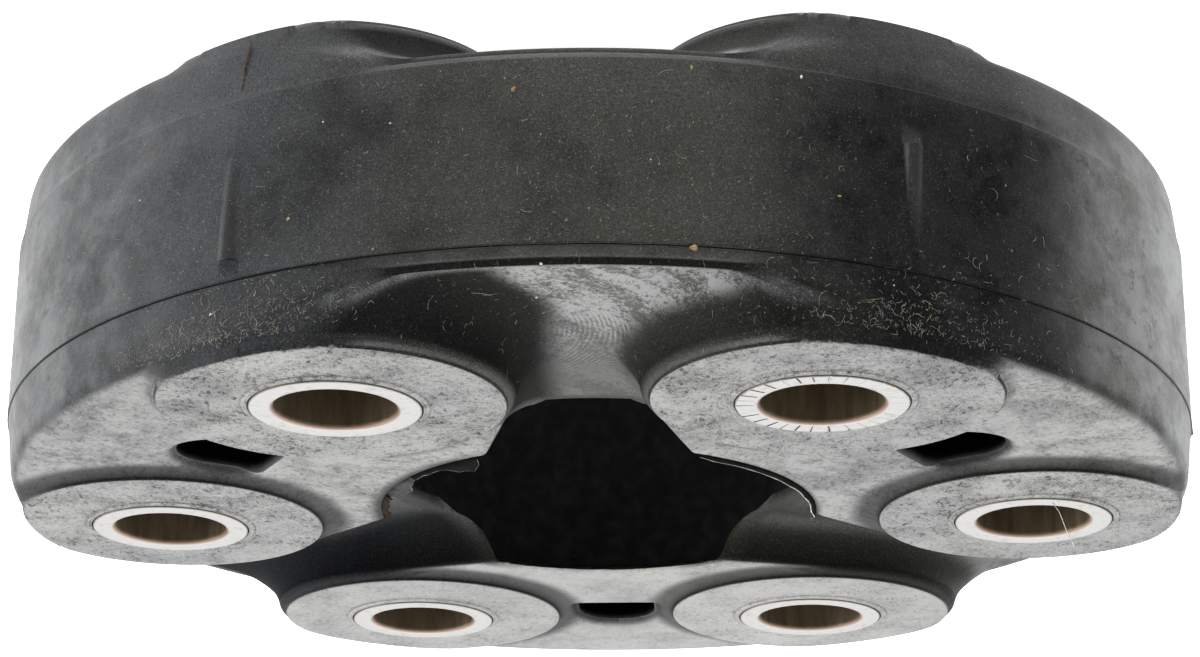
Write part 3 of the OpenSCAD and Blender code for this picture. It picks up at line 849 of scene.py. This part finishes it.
def plainFinish(name, first, second, scale, rough, specular=0.3):
    f = makeFinish(name)
    shade = f.noise(f.place(), scale, 3.0, 0.6)
    f.give(BaseColor=f.blend(f.rise(shade, 0.3, 0.7), first, second), Roughness=rough + 0.1 * shade,
           SpecularIORLevel=specular)
    return f.holder


def pocketFinish():  # painted shade: grey at the brink, black further down
    f = makeFinish("pocketShadedRubber")
    spot = f.place()
    high = abs(f.axes(spot)[2])
    grain = f.noise(spot, 0.8, 4.0, 0.6)
    shade = f.rise(high + (grain - 0.5) * 0.4, 14.3, 16.2) ** 2.5
    f.give(BaseColor=f.blend(shade, rubberLook["pocket"], rubberLook["pocketBrink"]), Roughness=0.75 + 0.2 * grain,
           SpecularIORLevel=0.0)
    return f.holder


def dressRubber():
    mesh = rubberBody.data
    c = rubberLook
    holeFinish = shadedFinish("holeRubber", c["deep"], c["hole"], c["holeSpecular"])
    for finish in (rubberFinish(), holeFinish, pocketFinish()):
        mesh.materials.append(finish)
    middle = np.empty(len(mesh.polygons) * 3)
    normal = np.empty(len(mesh.polygons) * 3)
    mesh.polygons.foreach_get("center", middle)
    mesh.polygons.foreach_get("normal", normal)
    x, y, z = (middle.reshape(-1, 3) / mm).T
    px, py = foldToPad(x, y)
    inHole = (np.hypot(x, y) < rubber["holeR"] + 0.02) & (np.abs(normal.reshape(-1, 3)[:, 2]) < 0.5)
    inPocket = pocketDistance(px, py) < 0.0
    mesh.polygons.foreach_set("material_index", (inHole + 2 * inPocket).astype(np.int32))


dressRubber()
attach(rubberBody, "root")
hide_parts("rubber_body")
print("rubber finished")

# turned steel sleeves

sleeve = dict(boreR=6.1, outR=8.6, end=17.5, toothed=5, teeth=30, toothDeep=0.16,
              face=(0.415, 0.412, 0.404, 1), stain=(0.24, 0.20, 0.15, 1), rust=(0.30, 0.185, 0.13, 1),
              bore=(0.33, 0.27, 0.18, 1), boreDark=(0.16, 0.125, 0.08, 1),
              cut=(0.020, 0.015, 0.011, 1), cutPale=(0.09, 0.07, 0.05, 1), cutWide=0.026)


def sleeveFinish():
    f = makeFinish("turnedSteel")
    spot = f.place()
    x, y, z = f.axes(spot)
    far = (x * x + y * y) ** 0.5
    rings = f.noise(f.node("ShaderNodeCombineXYZ", None, {0: far, 1: z * 0.4}), 9.0, 3.0, 0.6)
    marks = f.noise(spot, 1.4, 4.0, 0.65, 2.0)
    inside = 1 - f.rise(far, 6.11, 6.22)
    colour = f.blend(f.rise(marks, 0.50, 0.80) * 0.55, sleeve["face"], sleeve["stain"])
    colour = f.blend(f.rise(far, 8.40, 8.56) * 0.6, colour, sleeve["stain"])
    colour = f.blend((1 - f.rise(far + (marks - 0.5) * 0.3, 6.25, 6.6)) * 0.85, colour, sleeve["rust"])
    drawn = f.noise(f.place((1000.0, 1000.0, 160.0)), 0.7, 4.0, 0.66, 3.0)  # streaks down the bore
    colour = f.blend(inside, colour, f.blend(f.rise(drawn, 0.25, 0.8), sleeve["boreDark"], sleeve["bore"]))
    rough = 0.34 + 0.22 * rings + 0.12 * marks + 0.1 * inside
    f.give(BaseColor=colour, Metallic=1.0, Roughness=rough, Normal=f.bump(rings + marks * 0.5, 0.35, 0.00005))
    return f.holder


def makeSleeve(number, finish):
    toothed = number == sleeve["toothed"]
    n = 600 if toothed else 160
    e, a, b = sleeve["end"], sleeve["boreR"], sleeve["outR"]
    half = [(a, 8.0), (a, e - 0.6), (a + 0.02, e - 0.36), (a + 0.13, e - 0.2), (a + 0.3, e - 0.05),
            (a + 0.42, e), (a + 0.6, e), (a + 0.75, e), (a + 1.3, e), (a + 1.9, e), (b - 0.2, e), (b - 0.12, e),
            (b - 0.05, e - 0.04), (b, e - 0.12), (b, e - 0.6), (b, 8.0)]
    profile = half + [(r, -z) for r, z in reversed(half)]
    turns = np.arange(n) * 2 * math.pi / n
    part = (turns / (2 * math.pi) * sleeve["teeth"] + 0.13 * np.sin(turns * 5)) % 1 - 0.5  # from the nearest cut
    isCut = [toothed and a + 0.7 < r < b - 0.1 for r, z in profile]
    points = []
    for (r, z), cut in zip(profile, isCut):
        deep = sleeve["toothDeep"] * np.exp(-(part / 0.05) ** 2) if cut else 0.0
        points.append(np.column_stack([r * np.cos(turns), r * np.sin(turns), np.full(n, z) - np.sign(z) * deep]))
    m = len(profile)
    faces = [(i * n + k, i * n + (k + 1) % n, (i + 1) % m * n + (k + 1) % n, (i + 1) % m * n + k)
             for i in range(m) for k in range(n)]
    piece = meshPiece(f"turnedSleeve{number}", np.vstack(points) * mm, faces)
    turn = math.radians(60 * (number - 1))
    piece.location = (rubber["pitchR"] * mm * math.cos(turn), rubber["pitchR"] * mm * math.sin(turn), 0)
    piece.rotation_euler = (0, 0, turn + 0.4 * number)
    piece.data.materials.append(finish)
    if toothed:  # dirt in the cuts
        piece.data.materials.append(plainFinish("cutDirt", sleeve["cut"], sleeve["cutPale"], 1.5, 0.7))
        for polygon in piece.data.polygons:
            i, k = divmod(polygon.index, n)
            if isCut[i] and abs(part[k]) < sleeve["cutWide"]:
                polygon.material_index = 1
    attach(piece, "root")
    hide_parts(f"sleeve_{number}")
    return piece


steelFinish = sleeveFinish()
for number in range(1, sleeveCount + 1):
    makeSleeve(number, steelFinish)
print("sleeves made")

# cord loops and collars, which the rubber hides

cordLook = dict(light=(0.62, 0.56, 0.40, 1), dark=(0.36, 0.31, 0.20, 1), pitch=0.9)
collarLook = dict(light=(0.50, 0.51, 0.53, 1), dark=(0.30, 0.31, 0.33, 1))


def cordFinish():
    f = makeFinish("woundCord")
    spot = f.place()
    lay = f.node("ShaderNodeTexWave", {"bands_direction": "Z"},
                 {"Vector": spot, "Scale": 1 / cordLook["pitch"], "Distortion": 1.5, "Detail": 2.0})
    fray = f.noise(spot, 3.0, 4.0)
    f.give(BaseColor=f.blend(lay * 0.7 + fray * 0.3, cordLook["dark"], cordLook["light"]),
           Roughness=0.75 + 0.2 * fray, Normal=f.bump(lay, 0.6, 0.0002))
    return f.holder


def collarFinish():
    f = makeFinish("stampedSteel")
    mill = f.noise(f.place((300.0, 1500.0, 1500.0)), 1.0, 4.0)
    f.give(BaseColor=f.blend(mill, collarLook["dark"], collarLook["light"]),
           Metallic=1.0, Roughness=0.35 + 0.2 * mill)
    return f.holder


hidden = {"loop": cordFinish(), "collar": collarFinish()}
for name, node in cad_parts.items():
    for key, finish in hidden.items():
        if key in name:
            node.data.materials.clear()
            node.data.materials.append(finish)
print("loops and collars finished")


# small things on the surface

def wallAt(angle, z):  # a point on the outer wall and the way out of it
    a = math.radians(angle)
    r = rubber["bandR"]
    if abs(z) >= rubber["partingZ"]:
        r = float(wallRadius(np.array(abs(z)), rubber["bossTop"], rubber["bossRound"]))
    return np.array([r * math.cos(a), r * math.sin(a), z]), np.array([math.cos(a), math.sin(a), 0.0])


def tubes(name, paths, sides=4):
    # round threads along runs of points, each given as (points, radii)
    points, faces = [], []
    for run, radii in paths:
        run = np.asarray(run, float)
        base = len(points)
        along = np.gradient(run, axis=0)
        for p, d, r in zip(run, along, radii):
            d = d / (np.linalg.norm(d) + 1e-9)
            u = np.cross(d, (0.31, 0.52, 0.79))
            u = u / np.linalg.norm(u)
            v = np.cross(d, u)
            for k in range(sides):
                t = 2 * math.pi * k / sides
                points.append(p + r * (math.cos(t) * u + math.sin(t) * v))
        for i in range(len(run) - 1):
            here, there = base + i * sides, base + (i + 1) * sides
            for k in range(sides):
                q = (k + 1) % sides
                faces.append((here + k, here + q, there + q, there + k))
        faces.append(tuple(base + k for k in reversed(range(sides))))
        faces.append(tuple(base + (len(run) - 1) * sides + k for k in range(sides)))
    return meshPiece(name, np.array(points) * mm, faces)


def settle(piece, finish):
    piece.data.materials.append(finish)
    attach(piece, "root")


lint = dict(seed=7, onWall=620, onBosses=((-60, 520), (-120, 400), (0, 40), (180, 40)), inValley=380, thick=0.016,
            light=(0.54, 0.49, 0.34, 1), grey=(0.36, 0.36, 0.33, 1))


def onTop(x, y):
    return np.array([x, y, float(topHeight(np.array([x]), np.array([y]))[0])])


def makeLint():
    rng = np.random.default_rng(lint["seed"])
    paths = []

    def bend(start, side, up):
        # a short curled run in the plane of side and up
        length = 0.10 + rng.gamma(1.3, 0.20) if rng.random() > 0.05 else rng.uniform(1.0, 2.2)
        heading, curl = rng.uniform(0, 2 * math.pi), rng.normal(0, 2.2)
        run = [start]
        for k in range(4):
            run.append(run[-1] + (math.cos(heading) * side + math.sin(heading) * up) * length / 4)
            heading += curl / 4
        return run

    def keep(run, slim=1.0):
        thick = lint["thick"] * rng.uniform(0.55, 1.15) * slim
        paths.append((run, [thick * 0.6, thick, thick, thick, thick * 0.6]))

    places = [(rng.uniform(-185, 5) if rng.random() < 0.85 else rng.uniform(0, 360),
               9.2 - 18.2 * rng.random() ** 1.5) for _ in range(lint["onWall"])]
    for middle, count in lint["onBosses"]:
        places += [(middle + rng.normal(0, 6.5), max(15.4 - abs(rng.normal(0, 2.7)), 9.9)) for _ in range(count)]
    for angle, z in places:
        start, out = wallAt(angle, z)
        side = np.array([-out[1], out[0], 0])
        run = bend(start, side, np.array([0, 0, 1.0]))
        spots = [(math.degrees(math.atan2(q[1], q[0])), min(q[2], 15.7)) for q in run]
        keep([wallAt(t, h)[0] + out * (0.02 + 0.03 * rng.random()) for t, h in spots])
    runs = []
    for _ in range(lint["inValley"]):
        a, r = math.radians(-90 + rng.normal(0, 13)), rng.uniform(40, 64.6)
        start = np.array([r * math.cos(a), r * math.sin(a), 0])
        runs.append(bend(start, np.array([1.0, 0, 0]), np.array([0, 1.0, 0])))
    runs = np.array(runs)
    runs[..., 2] = topHeight(runs[..., 0].ravel(), runs[..., 1].ravel()).reshape(runs.shape[:2]) + 0.02
    steep = np.abs(np.diff(runs[..., 2], axis=1)).max(1)
    near = np.hypot(runs[..., 0], runs[..., 1]).max(1)
    for run in runs[(steep < 0.6) & (near < 64.9) & (runs[:, 0, 2] < 16.4)]:
        keep(run)
    settle(tubes("lint", paths, 3), plainFinish("lintFibre", lint["light"], lint["grey"], 0.4, 0.8))


makeLint()
print("lint made")

dirt = dict(
    seed=3, tan=(0.42, 0.30, 0.14, 1), brown=(0.16, 0.09, 0.04, 1), white=(0.80, 0.80, 0.78, 1),
    pale=(0.60, 0.60, 0.57, 1), wood=(0.012, 0.010, 0.007, 1), woodPale=(0.10, 0.075, 0.045, 1),
    crumbs=((-85.7, -6.2, 0.34), (-100.4, -8.6, 0.20), (-66.0, 4.4, 0.16), (-113.0, 3.0, 0.14), (-74.0, 8.8, 0.15),
            (-92.0, 6.0, 0.12), (-49.0, -8.0, 0.18), (-130.0, -2.0, 0.13)),
    specks=((-109.8, -8.7, 0.17), (-75.2, -3.8, 0.12), (-48.7, -2.1, 0.10), (-97.0, 1.0, 0.08), (-58.0, 12.2, 0.10),
            (-118.0, 11.0, 0.09), (-88.0, -1.5, 0.07), (-69.0, -5.0, 0.08)),
    topCrumbs=((-11.9, -63.9, 0.42), (-9.2, -56.0, 0.15), (4.0, -58.0, 0.18), (26.5, -31.0, 0.16),
               (-21.0, -27.0, 0.14)),
    topSpecks=((3.2, -55.4, 0.20), (2.2, -63.9, 0.13)),
)


def lumps(name, places, rng):
    # small irregular grains
    points, faces = [], []
    rows, around = 7, 10
    for centre, out, size in places:
        base = len(points)
        side = np.cross(out, (0.2, 0.3, 0.93))
        side = side / np.linalg.norm(side)
        up = np.cross(out, side)
        stretch = rng.uniform(0.6, 1.35, 3)
        wave = rng.uniform(0, 6.28, 4)
        for i in range(rows):
            t = math.pi * (i + 0.5) / rows
            for k in range(around):
                a = 2 * math.pi * k / around
                swell = 1 + 0.16 * math.sin(2 * a + wave[0] + t) + 0.13 * math.sin(3 * a + wave[1] - 2 * t)
                d = (side * math.sin(t) * math.cos(a) * stretch[0] + up * math.sin(t) * math.sin(a) * stretch[1]
                     + out * math.cos(t) * stretch[2] * 0.55)
                points.append(np.asarray(centre) + d * swell * size)
        for i in range(rows - 1):
            here, there = base + i * around, base + (i + 1) * around
            for k in range(around):
                q = (k + 1) % around
                faces.append((here + k, there + k, there + q, here + q))
        faces.append(tuple(base + k for k in range(around)))
        faces.append(tuple(base + (rows - 1) * around + k for k in reversed(range(around))))
    return meshPiece(name, np.array(points) * mm, faces)


def makeDirt():
    rng = np.random.default_rng(dirt["seed"])
    upward = np.array([0, 0, 1.0])
    for name, above, finish, light, dark in (("crumbs", "topCrumbs", "crumbGrain", "tan", "brown"),
                                             ("specks", "topSpecks", "speckGrain", "white", "pale")):
        spots = [(*wallAt(a, z), r) for a, z, r in dirt[name]]
        spots += [(onTop(x, y), upward, r) for x, y, r in dirt[above]]
        settle(lumps(name, spots, rng), plainFinish(finish, dirt[light], dirt[dark], 2.5, 0.8))

    # a splinter stuck in the lower wall, and a hair across one sleeve
    run = [wallAt(-60.4 - 0.06 * k, -10.3 - 0.95 * k)[0] for k in range(7)]
    shard = tubes("splinter", [(run, [0.04, 0.12, 0.2, 0.18, 0.2, 0.12, 0.03])], 8)
    settle(shard, plainFinish("oldWood", dirt["wood"], dirt["woodPale"], 1.8, 0.8))
    bent = [(-53.6, 11.7, 17.1), (-53.1, 8.6, 17.35), (-52.4, 5.6, 17.62), (-51.8, 2.6, 17.66),
            (-51.1, -1.0, 17.64), (-50.4, -4.4, 17.62), (-49.4, -7.6, 17.56)]
    settle(tubes("hair", [(bent, [0.03] * 7)], 6), plainFinish("paleHair", dirt["white"], dirt["pale"], 0.6, 0.5))


makeDirt()
print("dirt made")

flash = dict(
    seed=11, thin=0.07, edge=(0.34, 0.33, 0.31, 1), bright=(0.62, 0.60, 0.57, 1), dark=(0.030, 0.026, 0.022, 1),
    brown=(0.040, 0.021, 0.012, 1), brownDark=(0.006, 0.005, 0.004, 1), grey=(0.075, 0.075, 0.076, 1),
    skin=(0.0025, 0.0025, 0.0025, 1), shadedSkinPale=(0.010, 0.0085, 0.007, 1),
    torn=((-60.5, 23.9), (-58, 22.2), (-53.4, 20.9), (-52.2, 21.7), (-49.7, 21.7), (-48.4, 23.0), (-46.5, 23.45),
          (-40, 23.6), (-34.2, 23.35)),  # outlines as angle and radius
    scrap=((-35.5, 23.5), (-32, 23.0), (-29.5, 22.8), (-26.5, 22.1), (-24.5, 22.3), (-20.4, 22.95), (-17.5, 23.8)),
    seams=((-69.0, -75.5), (-76.0, -87.0), (-87.8, -99.5), (-100.2, -110.5)),
)


def ribbon(name, roots, tips, thick):
    # a thin closed web of rubber between two runs of points
    roots, tips = np.asarray(roots, float), np.asarray(tips, float)
    n = len(roots)
    away = np.cross(np.gradient(roots, axis=0), tips - roots)
    away = away / (np.linalg.norm(away, axis=1)[:, None] + 1e-9)
    rows = [roots + away * thick, (roots + tips) / 2 + away * thick * 0.8, tips + away * thick * 0.35,
            tips - away * thick * 0.35, (roots + tips) / 2 - away * thick * 0.8, roots - away * thick]
    faces = [(i * n + k, i * n + k + 1, (i + 1) % 6 * n + k + 1, (i + 1) % 6 * n + k)
             for i in range(6) for k in range(n - 1)]
    faces += [tuple(i * n for i in reversed(range(6))), tuple(i * n + n - 1 for i in range(6))]
    return meshPiece(name, np.vstack(rows) * mm, faces)


def wander(count, coarse, rng):  # an even, uneven line between 0 and 1
    knots = rng.random(max(int(count / coarse) + 3, 4))
    place = np.linspace(0, len(knots) - 1.001, count)
    low = place.astype(int)
    part = place - low
    return knots[low] * (1 - part) + knots[low + 1] * part


def arc(angles, r, z):
    a = np.radians(angles)
    return np.column_stack([r * np.cos(a), r * np.sin(a), z * np.ones_like(a)])


def makeFlash():
    rng = np.random.default_rng(flash["seed"])
    pale = plainFinish("flashEdge", flash["edge"], flash["dark"], 0.5, 0.6)
    # painted shade: the flash under the brink gets a near-black finish, darker than the rubber, for the shade it
    # hangs in
    dark = plainFinish("tornRubberInShade", flash["skin"], flash["shadedSkinPale"], 0.7, 0.8, 0.04)
    z, hole = rubber["padTop"], rubber["holeR"]

    a = np.linspace(176.5, 241, 190)  # thin and nearly whole along one pad
    fade = np.minimum(1, np.minimum(np.arange(190), np.arange(190)[::-1]) / 14)
    lip = (0.34 + 0.16 * wander(190, 12, rng)) * fade
    rise = z + 0.12 + 0.05 * wander(190, 20, rng)
    settle(ribbon("thinFlash", arc(a, hole + 0.1, z - 0.25), arc(a, hole - lip, rise), flash["thin"]), dark)
    thick = (0.042 + 0.045 * (241 - a) / 64) * (0.7 + 0.5 * wander(190, 6, rng))
    settle(tubes("flashEdge", [(arc(a, hole - lip - 0.03, rise), thick)], 6),
           plainFinish("flashBright", flash["bright"], flash["edge"], 0.8, 0.55))
    tail = [(-23.65, 1.4, z + 0.15), (-23.6, 2.2, z + 0.1), (-23.65, 2.8, z - 0.4), (-23.8, 3.0, z - 1.2)]
    settle(tubes("flashTail", [(tail, [0.10, 0.11, 0.08, 0.03])], 6), pale)

    # torn along another: a dark skin, a grey scrap and a brown stub at its end
    brown = plainFinish("oldStub", flash["brown"], flash["brownDark"], 1.6, 0.8, 0.08)
    grey = plainFinish("greyScrap", flash["grey"], flash["dark"], 0.6, 0.7, 0.1)
    for name, outline, finish, uneven in (("tornFlash", "torn", dark, 0.10), ("tornScrap", "scrap", grey, 0.16)):
        knots = np.array(flash[outline])
        a = np.linspace(knots[0, 0], knots[-1, 0], 160)
        r = np.interp(a, knots[:, 0], knots[:, 1]) + uneven * (wander(160, 5, rng) - 0.5)
        tip = arc(a, r, z + 0.06 + 0.10 * wander(160, 14, rng))
        settle(ribbon(name, arc(a, hole + 0.12, z - 0.22), tip, flash["thin"]), finish)
        settle(tubes(name + "Edge", [(tip, 0.022 + 0.030 * wander(160, 6, rng))], 5), pale)
    a = np.linspace(-18.5, 2.0, 70)
    fade = np.minimum(1, np.minimum(np.arange(70), np.arange(70)[::-1]) / 5)
    tip = arc(a, hole - 0.1 - (0.25 + 0.55 * wander(70, 7, rng)) * fade, z + 0.1 + 0.15 * wander(70, 5, rng))
    settle(ribbon("tornStub", arc(a, hole + 0.12, z - 0.25), tip, 0.16), brown)

    a = np.linspace(62, 118, 200)  # a low fringe on the far pad
    lip = 0.03 + 0.30 * wander(200, 8, rng) ** 2
    tip = arc(a, hole - 0.04 - lip, z - 0.55)
    settle(ribbon("lowFringe", arc(a, hole + 0.06, z - 0.2), tip, flash["thin"] * 1.3), dark)

    runs = []  # a broken seam just under the near web's edge
    for first, last in flash["seams"]:
        a = np.linspace(first, last, 26)
        run = arc(a, hole - 0.03 + 0.03 * wander(26, 5, rng), 8.9 + 0.25 * wander(26, 6, rng))
        runs.append((run, 0.025 + 0.05 * wander(26, 4, rng)))
    settle(tubes("webSeam", runs, 5), pale)
    nub = (arc(np.array([80.0]), hole - 0.15, 14.1)[0], np.array([-0.17, -0.98, 0.0]), 0.5)
    settle(lumps("holeNub", [nub], rng), dark)


makeFlash()
print("flash made")

print("all pieces made")
